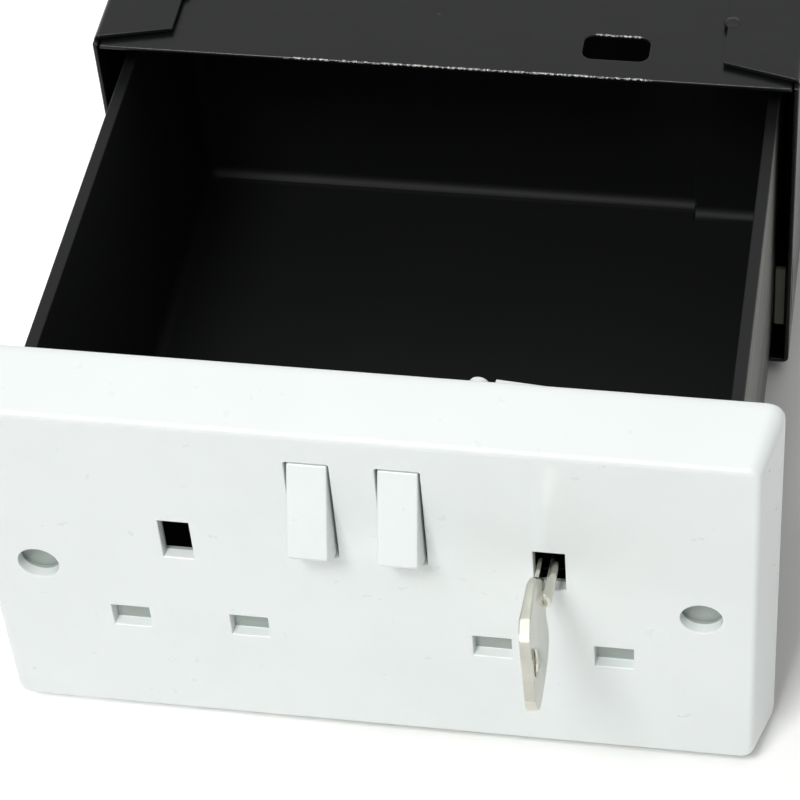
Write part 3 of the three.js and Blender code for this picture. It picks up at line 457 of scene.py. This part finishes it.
def stand_in(name, shape, material, sharp=38):
    """Makes an object of a bmesh: it rides on the node's body and stands for the node.

    Faces that meet at more than sharp degrees keep a hard edge between them.
    """
    mesh = bpy.data.meshes.new(f"{name}_fine")
    shape.to_mesh(mesh)
    shape.free()
    mesh.shade_smooth()
    mesh.set_sharp_from_angle(angle=math.radians(sharp))
    piece = linked(f"{name}_fine", mesh)
    weighted = piece.modifiers.new("even_faces", "WEIGHTED_NORMAL")
    weighted.keep_sharp = True
    paint(piece, material)
    body = next(b for b, names in frame["record"]["behaviour"]["bodies"].items() if name in names)
    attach(piece, body)
    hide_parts(name)


NEARLY_ALONG = 0.87  # cosine of about 30 degrees
ROOM_PER_ROUNDING = 2.1  # how many times its rounding an edge needs free beside each end


def has_room(edge, reach):
    """Whether no edge shorter than reach leaves an end of this one sideways.

    The rounding would land on such an edge.
    """
    along = (edge.verts[1].co - edge.verts[0].co).normalized()
    for end in edge.verts:
        for other in end.link_edges:
            if other is edge or other.calc_length() >= reach:
                continue
            way = (other.other_vert(end).co - end.co).normalized()
            if abs(way.dot(along)) < NEARLY_ALONG:
                return False
    return True


def eased(shape, edge, segments=2, sharp=30):
    """Rounds a bmesh's edges by edge millimetres, where there is room for it.

    An edge is rounded where its faces meet at more than sharp degrees.
    """
    corners = [
        e
        for e in shape.edges
        if len(e.link_faces) == 2
        and e.calc_face_angle(0) > math.radians(sharp)
        and has_room(e, ROOM_PER_ROUNDING * edge * MM)
    ]
    bmesh.ops.bevel(
        shape,
        geom=corners,
        offset=edge * MM,
        offset_type="OFFSET",
        affect="EDGES",
        segments=segments,
        profile=0.5,
        material=-1,
        clamp_overlap=False,
    )
    return shape


# Points this close, and faces that meet at this angle, are one in a copy of a CAD mesh
SAME_POINT = 0.002 * MM
SAME_PLANE = math.radians(0.6)


def refined(name, edge, material, segments=2):
    """Stands in for a CAD node with a copy whose edges are rounded by edge millimetres."""
    shape = bmesh.new()
    shape.from_mesh(frame["nodes"][name].data)
    bmesh.ops.remove_doubles(shape, verts=shape.verts, dist=SAME_POINT)
    bmesh.ops.dissolve_limit(shape, angle_limit=SAME_PLANE, verts=shape.verts, edges=shape.edges)
    stand_in(name, eased(shape, edge, segments), material)


def merged(*shapes):
    """Several bmeshes as one."""
    result = bmesh.new()
    for shape in shapes:
        mesh = bpy.data.meshes.new("blank")
        shape.to_mesh(mesh)
        shape.free()
        result.from_mesh(mesh)
        bpy.data.meshes.remove(mesh)
    return result


def block(low, high):
    """A box between two corners in millimetres."""
    low, high = Vector(low) * MM, Vector(high) * MM
    shape = bmesh.new()
    bmesh.ops.create_cube(shape, size=1)
    bmesh.ops.scale(shape, verts=shape.verts, vec=high - low)
    bmesh.ops.translate(shape, verts=shape.verts, vec=(high + low) / 2)
    return shape


def round_disc(radius, thickness, steps, axis):
    """A flat-ended cylinder turned by 90 degrees about an axis: sizes in millimetres."""
    shape = bmesh.new()
    bmesh.ops.create_cone(
        shape,
        cap_ends=True,
        segments=steps,
        radius1=radius * MM,
        radius2=radius * MM,
        depth=thickness * MM,
    )
    turn = Matrix.Rotation(math.radians(90), 3, axis)
    bmesh.ops.rotate(shape, verts=shape.verts, matrix=turn)
    return shape


def turned_bar(profile, steps):
    """A solid turned about the Y axis from pairs of radius and depth in millimetres."""
    shape = bmesh.new()
    points = [shape.verts.new((radius * MM, depth * MM, 0)) for radius, depth in profile]
    edges = [shape.edges.new(pair) for pair in zip(points, points[1:])]
    bmesh.ops.spin(
        shape,
        geom=points + edges,
        cent=(0, 0, 0),
        axis=(0, 1, 0),
        angle=math.tau,
        steps=steps,
        use_merge=True,
        use_duplicate=False,
    )
    bmesh.ops.remove_doubles(shape, verts=shape.verts, dist=0.001 * MM)
    bmesh.ops.recalc_face_normals(shape, faces=shape.faces)
    return shape


def cut_from(shape, cutter):
    """The first bmesh with the second one cut out of it."""
    objects = []
    for source in (shape, cutter):
        mesh = bpy.data.meshes.new("blank")
        source.to_mesh(mesh)
        source.free()
        objects.append(linked("blank", mesh))
    blank, tool = objects
    boolean = blank.modifiers.new("recess", "BOOLEAN")
    boolean.operation = "DIFFERENCE"
    boolean.solver = "EXACT"
    boolean.use_self = True
    boolean.object = tool
    evaluated = blank.evaluated_get(bpy.context.evaluated_depsgraph_get())
    done = bpy.data.meshes.new_from_object(evaluated)
    result = bmesh.new()
    result.from_mesh(done)
    for thing in objects:
        mesh = thing.data
        bpy.data.objects.remove(thing)
        bpy.data.meshes.remove(mesh)
    bpy.data.meshes.remove(done)
    return result


# Screws: millimetres, but the recess's span and width are shares of the head's radius
TIP_SHARE = 0.5  # of the shank's radius that is left at its tip
PAN_SIDE = 0.7  # height of the pan head's straight side
PAN_CROWN = 1.0  # height of the crown above it
PAN_ARC = (15, 30, 45, 60, 75)  # degrees round the crown, from its side to its top
HEAD_RIM = 0.1  # width of the small slope round a head
COUNTERSUNK_RIM = 0.15  # height of the countersunk head's rim
RECESS_SPAN = 1.15
RECESS_WIDTH = 0.3
RECESS_TAPER = 0.6  # how wide the recess's floor is against its mouth
PAN_RECESS_DEPTH = 1.1
COUNTERSUNK_RECESS_DEPTH = 0.8


def cross_recess(reach, width, depth):
    """The tapered cross that a driver's tip leaves: its mouth lies at y = 0."""
    shape = bmesh.new()
    for size in ((reach, width), (width, reach)):
        bar = bmesh.ops.create_cube(shape, size=1)["verts"]
        bmesh.ops.scale(shape, verts=bar, vec=Vector((size[0], depth * 2, size[1])) * MM)
        tips = [v for v in bar if v.co.y < 0]
        bmesh.ops.scale(shape, verts=tips, vec=(RECESS_TAPER, 1, RECESS_TAPER))
    return shape


def screw(name, shank, head, countersunk):
    """A screw with a cross recess in its CAD node's place, with its head towards +Y.

    shank and head are radii in millimetres.
    """
    low, high = (Vector(corner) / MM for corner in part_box(name))
    length = high.y - low.y
    profile = [(0, 0), (shank * TIP_SHARE, 0), (shank, shank)]
    if countersunk:
        rise = head - shank
        profile += [(shank, length - rise), (head, length - COUNTERSUNK_RIM)]
        profile += [(head - HEAD_RIM, length), (0, length)]
    else:
        seat = length - (PAN_SIDE + PAN_CROWN)
        profile += [(shank, seat), (head - HEAD_RIM, seat)]
        profile += [(head, seat + HEAD_RIM), (head, seat + PAN_SIDE)]
        profile += [
            (head * math.cos(turn), seat + PAN_SIDE + PAN_CROWN * math.sin(turn))
            for turn in (math.radians(t) for t in PAN_ARC)
        ]
        profile += [(0, length)]
    depth = COUNTERSUNK_RECESS_DEPTH if countersunk else PAN_RECESS_DEPTH
    body = turned_bar(profile, steps=32)
    recess = cross_recess(head * RECESS_SPAN, head * RECESS_WIDTH, depth)
    bmesh.ops.translate(recess, verts=recess.verts, vec=(0, length * MM, 0))
    shape = cut_from(body, recess)
    middle = (low + high) / 2
    bmesh.ops.translate(shape, verts=shape.verts, vec=Vector((middle.x, low.y, middle.z)) * MM)
    stand_in(name, shape, ZINC, sharp=30)


# Key: millimetres from the lock's axis and the plate's face, with the front towards -Y
NECK_THICKNESS = 0.75
BOW_THICKNESS = 2.1
TAPER_START = 3  # in front of the plate, where the neck begins to thicken
TAPER_LENGTH = 11
RING_HOLE = (0, -21.2, 1.0)  # its middle
RING_HOLE_RADIUS = 2.3
BOW_START = -3.9  # the bow is set about this point
BOW_OFFSET = -0.2  # of its right side from the shank's axis
BOW_SET = 3  # degrees that the bow is set to the right
PLUG_FACE = 6  # behind the plate's face
SHANK_BEND = 3  # degrees that the shank leans to the left in front of the plug
KEY_LEAN = -7  # degrees: plug and key stand 7 degrees past the open position
SLOT_HALF = 0.75  # half the width of the slot between the tines
LEFT_TINE_END = -4.6  # the left tine stops here, beside the bow's neck
IN_SLOT = 0.2  # the block that shortens the left tine ends here, inside the slot
TINE_ROUNDING = 0.15
CUT_FRONT = -9  # the cutting blocks reach past the shank on all sides
CUT_BACK = 18
CUT_SIDE = 3
BRIDGE_LOW = (-0.4, -6.6, -1.2)  # the bridge joins the tip of the right tine to the bow
BRIDGE_HIGH = (1.0, -5.2, 0.4)
BOW_CORNERS = (
    # distance in front of the plate, height, and the rounding of each corner
    (3.0, 1.6, 0.3),
    (8.0, 8.3, 1.8),
    (20.9, 9.0, 3.4),
    (28.2, -3.9, 2.4),
    (25.0, -6.6, 3.0),
    (12.5, -8.6, 3.0),
    (8.0, -7.2, 1.6),
    (7.2, -2.4, 0.8),
    (3.0, -1.0, 0.3),
)
SHANK_PROFILE = (
    # radius, and place along the shank
    (0, -7),
    (1.3, -7),
    (1.75, -6.7),
    (1.95, -6.2),
    (1.95, 16.2),
    (1.5, 16.7),
    (0, 16.7),
)


def key_bow():
    """The key's flat bow and neck, upright along -Y: its right side lies at x = 0."""
    shape = bmesh.new()
    points = [shape.verts.new((0, -reach * MM, height * MM)) for reach, height, _ in BOW_CORNERS]
    shape.faces.new(points)
    for point, (_, _, radius) in zip(points, BOW_CORNERS):
        bmesh.ops.bevel(
            shape,
            geom=[point],
            offset=radius * MM,
            affect="VERTICES",
            segments=6,
            profile=0.5,
            material=-1,
        )
    grown = bmesh.ops.extrude_face_region(shape, geom=list(shape.faces))["geom"]
    for point in (g for g in grown if isinstance(g, bmesh.types.BMVert)):
        share = min(max((-point.co.y / MM - TAPER_START) / TAPER_LENGTH, 0), 1)
        point.co.x -= (NECK_THICKNESS + (BOW_THICKNESS - NECK_THICKNESS) * share) * MM
    bmesh.ops.recalc_face_normals(shape, faces=shape.faces)
    hole = round_disc(RING_HOLE_RADIUS, thickness=8, steps=40, axis="Y")
    bmesh.ops.translate(hole, verts=hole.verts, vec=Vector(RING_HOLE) * MM)
    return eased(cut_from(shape, hole), edge=0.35, segments=3, sharp=40)


def door_key():
    """The key in the lock: a round shank split in two tines, and the bow on the left one."""
    slot = block((-SLOT_HALF, CUT_FRONT, -CUT_SIDE), (SLOT_HALF, CUT_BACK, CUT_SIDE))
    short = block((-CUT_SIDE, CUT_FRONT, -CUT_SIDE), (IN_SLOT, LEFT_TINE_END, CUT_SIDE))
    tines = cut_from(cut_from(turned_bar(SHANK_PROFILE, steps=40), slot), short)
    eased(tines, TINE_ROUNDING, segments=2, sharp=40)
    bridge = eased(block(BRIDGE_LOW, BRIDGE_HIGH), TINE_ROUNDING)
    bend = math.tan(math.radians(SHANK_BEND))
    for part in (tines, bridge):
        for point in part.verts:
            point.co.x -= max(PLUG_FACE * MM - point.co.y, 0) * bend
    bow = key_bow()
    turn = Matrix.Rotation(math.radians(BOW_SET), 3, "Z")
    bow_start = Vector((0, BOW_START, 0)) * MM
    bmesh.ops.rotate(bow, verts=bow.verts, cent=bow_start, matrix=turn)
    bmesh.ops.translate(bow, verts=bow.verts, vec=Vector((BOW_OFFSET, 0, 0)) * MM)
    shape = merged(tines, bridge, bow)
    lean = Matrix.Rotation(math.radians(KEY_LEAN), 3, "Y")
    bmesh.ops.rotate(shape, verts=shape.verts, matrix=lean)
    lock_low, lock_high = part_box("lock_body")
    middle = (lock_low + lock_high) / 2
    bmesh.ops.translate(shape, verts=shape.verts, vec=(middle.x, PLATE_FRONT, middle.z))
    stand_in("key", shape, NICKEL, sharp=30)


# Floors of the fixing holes, in millimetres: wider than the holes, against the wall's back
FIXING_HOLE_SIDE = 60.3
HOLE_FLOOR_RADIUS = 5
HOLE_FLOOR_THICKNESS = 1.4
HOLE_FLOOR_MIDDLE = 3.5  # behind the plate's face


def hole_floor(side):
    """A round floor that closes a fixing hole: its front lies 0.1 mm inside the plate's wall."""
    shape = round_disc(HOLE_FLOOR_RADIUS, HOLE_FLOOR_THICKNESS, steps=48, axis="X")
    place = (side * FIXING_HOLE_SIDE * MM, PLATE_FRONT + HOLE_FLOOR_MIDDLE * MM, 0)
    bmesh.ops.translate(shape, verts=shape.verts, vec=place)
    mesh = bpy.data.meshes.new("hole_floor")
    eased(shape, edge=0.2).to_mesh(mesh)
    shape.free()
    piece = linked("fixing_hole_floor_right" if side > 0 else "fixing_hole_floor_left", mesh)
    # the plate's urea paints this floor grey as painted shade
    paint(piece, PLATE_UREA)
    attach(piece, "drawer_unit")


finishes = {
    "faceplate": PLATE_UREA,
    "rocker": UREA,
    "lock_carrier": UREA,
    "drawer": ABS,
    "housing": POWDER,
    "key": NICKEL,
    "lock_cam": NICKEL,
    "lock_body": BLACK_ZINC,
    "lock_plug": BLACK_ZINC,
    "lock_nut": ZINC,
    "cam_nut": ZINC,
    "retainer_screw": ZINC,
    "carrier_screw": ZINC,
    "drawer_screw": ZINC,
    "rocker_spring": SPRING,
}
for name, thing in frame["nodes"].items():
    match = max((key for key in finishes if name.startswith(key)), key=len)
    paint(thing, finishes[match])

refined("faceplate", 0.25, PLATE_UREA)
refined("rocker_left", 0.3, UREA)
refined("rocker_right", 0.3, UREA)
refined("rocker_retainer", 0.25, UREA)
refined("lock_carrier", 0.25, UREA)
refined("drawer", 0.3, ABS)
refined("housing_tray", 0.3, POWDER, segments=3)
refined("housing_cover", 0.4, POWDER, segments=3)
door_key()
hole_floor(-1)
hole_floor(1)
refined("lock_cam", 0.25, NICKEL)
refined("lock_body", 0.2, BLACK_ZINC)
refined("lock_nut", 0.3, ZINC)
refined("cam_nut", 0.25, ZINC)

for name in frame["nodes"]:
    if name.startswith(("carrier_screw", "drawer_screw")):
        screw(name, shank=1.45, head=2.8, countersunk=False)
    elif name.startswith("retainer_screw"):
        screw(name, shank=1.2, head=2.4, countersunk=True)

# Table, light and camera

TABLE_SIZE = 6  # metres
TABLE_GAP = 0.1 * MM  # below the safe's edges
GLOW_START = -0.1  # metres from the safe's middle: to the left of it the glow is full
GLOW_LEVEL = 0.3
STUDIO_LEVEL = 0.22  # light from all round on the safe
LAMP_AIM = (0, -150, 0)  # millimetres: about the middle of the open safe


def seen(tree):
    """1 for camera, glossy and transmission rays, and 0 for the rest."""
    path = node(tree, "ShaderNodeLightPath").outputs
    mirrored = node(
        tree,
        "ShaderNodeMath",
        {"operation": "MAXIMUM"},
        {0: path["Is Glossy Ray"], 1: path["Is Transmission Ray"]},
    )
    either = node(
        tree,
        "ShaderNodeMath",
        {"operation": "MAXIMUM"},
        {0: path["Is Camera Ray"], 1: mirrored.outputs[0]},
    )
    return either.outputs[0]


def white_laminate():
    """Table top of white laminate, pressed matt.

    Left of the safe it is blown out to white, as the camera, metal and glass see it.
    """
    material, tree, shader, place = new_finish(
        "table_white_laminate",
        Base_Color=linear("FAFAF8"),
        Roughness=0.6,
        Specular_IOR_Level=0.2,
        Emission_Color=(1, 1, 1, 1),
    )
    across = node(tree, "ShaderNodeSeparateXYZ", None, {"Vector": place})
    blown_out = node(
        tree,
        "ShaderNodeMapRange",
        None,
        {
            "Value": across.outputs["X"],
            "From Min": GLOW_START,
            "From Max": 0.0,
            "To Min": GLOW_LEVEL,
            "To Max": 0.0,
        },
    )
    glow = node(
        tree,
        "ShaderNodeMath",
        {"operation": "MULTIPLY"},
        {0: blown_out.outputs["Result"], 1: seen(tree)},
    )
    tree.links.new(glow.outputs[0], shader.inputs["Emission Strength"])
    return material


# The safe rests on the housing's rear edge and the plate's lower edge, and the table meets both.
plate_low, plate_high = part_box("faceplate")
rear_edge = Vector((0, 0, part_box("housing_tray")[0][2]))
plate_edge = Vector((0, plate_high[1], plate_low[2]))
tilt = math.atan2(rear_edge.z - plate_edge.z, rear_edge.y - plate_edge.y)
bpy.ops.mesh.primitive_plane_add(size=TABLE_SIZE)
table = bpy.context.object
table.name = "table"
table.rotation_euler = (tilt, 0, 0)
table.location = (rear_edge + plate_edge) / 2 - Vector((0, 0, TABLE_GAP))
paint(table, white_laminate())

world = bpy.data.worlds.new("studio")
bpy.context.scene.world = world
world.use_nodes = True
tree = world.node_tree
tree.nodes.clear()
level = node(
    tree,
    "ShaderNodeMapRange",
    None,
    {"Value": seen(tree), "To Min": STUDIO_LEVEL, "To Max": 1.0},
)
sky = node(
    tree,
    "ShaderNodeBackground",
    None,
    {"Color": (1, 1, 1, 1), "Strength": level.outputs["Result"]},
)
node(tree, "ShaderNodeOutputWorld", None, {"Surface": sky.outputs["Background"]})


def softbox(name, place, size, watts):
    """A square lamp at a place in millimetres, turned to the safe."""
    lamp = bpy.data.lights.new(name, "AREA")
    lamp.shape = "SQUARE"
    lamp.size = size * MM
    lamp.energy = watts
    thing = linked(name, lamp)
    thing.location = Vector(place) * MM
    way = Vector(LAMP_AIM) * MM - thing.location
    thing.rotation_euler = way.to_track_quat("-Z", "Y").to_euler()


softbox("key_light", place=(-280, -1080, 1330), size=450, watts=18.2)
softbox("ceiling_light", place=(0, -150, 1700), size=2400, watts=13.5)

# The camera stands where the photograph was taken from, fitted to the plate's holes and edges.
camera_data = bpy.data.cameras.new("camera")
camera = linked("camera", camera_data)
camera.location = (0.0887335, -0.5624694, 0.4086875)
camera.rotation_euler = (0.7557592, 0.0388875, 0.1402596)
camera_data.sensor_width = 36
camera_data.lens = 133.006
camera_data.shift_x = -0.140174
camera_data.shift_y = -0.018612
camera_data.clip_start = 0.01
bpy.context.scene.camera = camera

bpy.context.scene.view_settings.view_transform = "Standard"
